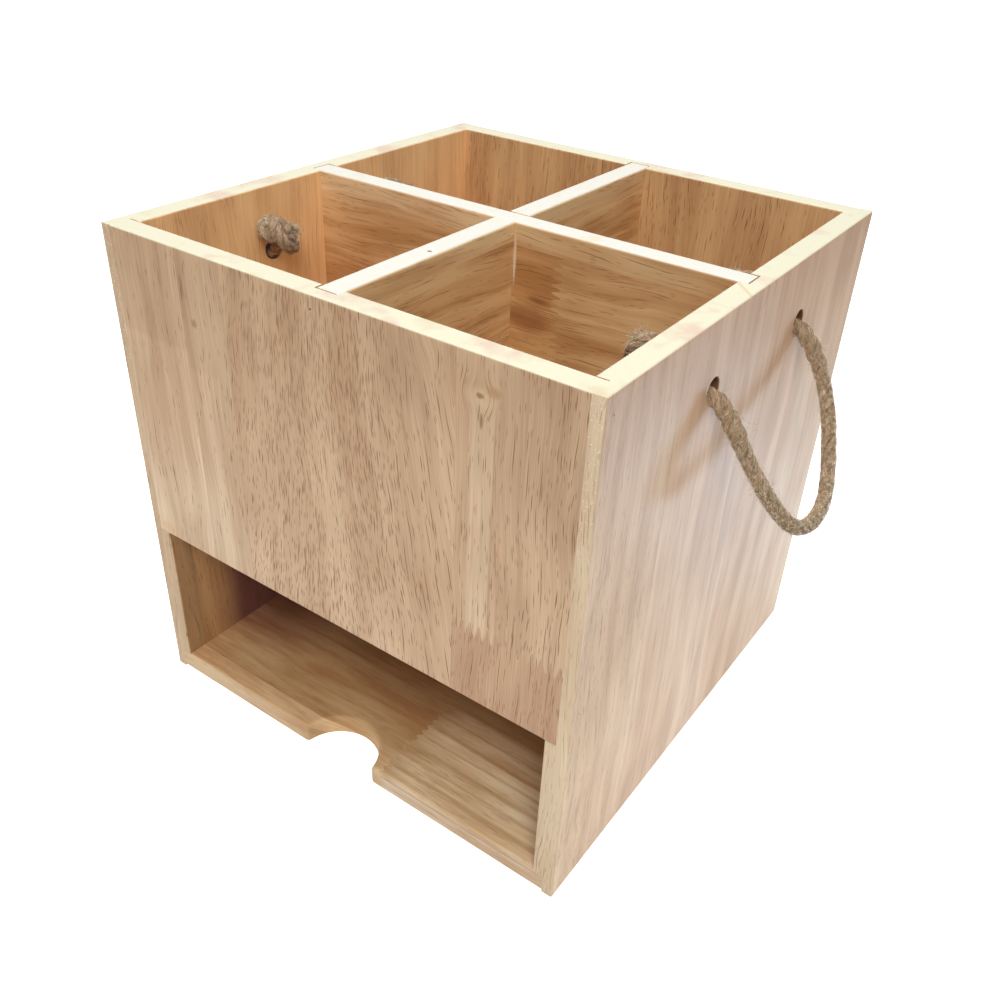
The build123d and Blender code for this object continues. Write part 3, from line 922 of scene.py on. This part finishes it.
longBoard = {
    **crossBoard, "name": "rubberwoodLongDivider", "node": "long_divider", "axes": ("Z", "X", "Y", -1, 4.5),
    "staves": [(82, (1.0, 1.0, 1.0), 0.74), (150, (1.0, 0.97, 0.93), 0.45), (193, (1.03, 1.06, 1.1), 0.15)],
    "joints": [], "marks": [(203.2, -49, 1.3, 1.0, "#3A3029", 0.9)], "wander": 6.0,
    "washes": [wash((60, 220), (-120, 120), (0.9, 0.88, 0.8), 1.0, 1.0)],
}
for board in (frontBoard, backBoard, rightBoard, leftBoard, baseBoard, floorBoard, crossBoard, longBoard):
    sawnBoard(board)

# Plain steel wire, cut, sunk and dull: the pins' ends read as dark dots.
pinSteel = {"dark": "#3A3631", "light": "#6E6A64", "roughness": 0.5, "grime": 2500.0}
steel, add = newMaterial("dullPinSteel")
place = add("ShaderNodeTexCoord")
grime = noise(add, place.outputs["Object"], pinSteel["grime"], 2.0)
tones = toneRamp(add, grime, [(0.3, pinSteel["dark"]), (0.7, pinSteel["light"])])
metal = add("ShaderNodeBsdfPrincipled", {
    "Base Color": tones, "Metallic": 1.0, "Roughness": pinSteel["roughness"],
})
add("ShaderNodeOutputMaterial", {"Surface": metal.outputs[0]})
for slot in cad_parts["panel_pins"].material_slots:
    slot.material = steel
print("pins dulled")

# The studio: white paper under a white sky, soft lamps, none of them in the picture.
studio = {
    "sky": 0.17,
    "paper": "#F6F5F3",
    "paperGlow": 0.92,
    "paperHalf": 6.0,
    "paperDrop": 0.0002,
    # place, aimed at, width and height in metres, watts, colour
    "lamps": {
        "topBox": ((-0.15, 0.1, 1.1), (0, 0, 0.1), (0.8, 0.8), 3.1, "#FFFFFF"),
        "overhead": ((0, 0, 0.75), (0, 0, 0.1), (0.25, 0.25), 1.1, "#FFFFFF"),
        "highFront": ((0.5, -0.75, 1.0), (0, 0, 0.1), (0.5, 0.5), 8.8, "#FFFDF8"),
        "lowFront": ((-0.12, -0.5, 0.03), (0, -0.1, 0.05), (0.3, 0.3), 0.32, "#FFF0DC"),
        "lowBack": ((0.2585, 0.1925, 0.013), (0.1, -0.05, 0.14), (0.05, 0.022), 0.37, "#B0D8FF"),
    },
}


def seenStraight(add):
    # 1 for what the lens sees, also by a reflection or through glass
    ray = add("ShaderNodeLightPath").outputs
    seen = calc(add, "MAXIMUM", ray["Is Camera Ray"], ray["Is Glossy Ray"])
    return calc(add, "MAXIMUM", seen, ray["Is Transmission Ray"])


half = studio["paperHalf"]
corners = [(-half, -half, 0), (half, -half, 0), (half, half, 0), (-half, half, 0)]
floor = addObject("Floor", meshOf("Floor", corners, [(0, 1, 2, 3)]))
floor.location.z = -studio["paperDrop"]
paper, add = newMaterial("studioPaper")
plain = add("ShaderNodeBsdfDiffuse", {"Color": hexColor(studio["paper"])})
glow = add("ShaderNodeEmission", {"Color": (1, 1, 1, 1), "Strength": studio["paperGlow"]})
lit = add("ShaderNodeAddShader", {0: plain.outputs[0], 1: glow.outputs[0]})
shown = add("ShaderNodeMixShader", {0: seenStraight(add), 1: plain.outputs[0], 2: lit.outputs[0]})
add("ShaderNodeOutputMaterial", {"Surface": shown.outputs[0]})
floor.data.materials.append(paper)

world = bpy.data.worlds.new("Studio")
bpy.context.scene.world = world
world.use_nodes = True
world.node_tree.nodes.clear()
add = functools.partial(addNode, world.node_tree)
strength = mapped(add, seenStraight(add), 0.0, 1.0, studio["sky"], 1.0)
sky = add("ShaderNodeBackground", {"Color": (1, 1, 1, 1), "Strength": strength})
add("ShaderNodeOutputWorld", {"Surface": sky.outputs[0]})

for name, (place, target, size, watts, color) in studio["lamps"].items():
    lamp = bpy.data.lights.new(name, "AREA")
    lamp.shape = "RECTANGLE"
    lamp.size, lamp.size_y = size
    lamp.energy = watts
    lamp.color = hexColor(color)[:3]
    holder = addObject(name, lamp)
    holder.location = place
    holder.rotation_euler = (Vector(target) - Vector(place)).to_track_quat("-Z", "Y").to_euler()
    holder.visible_camera = False
print("studio lit")
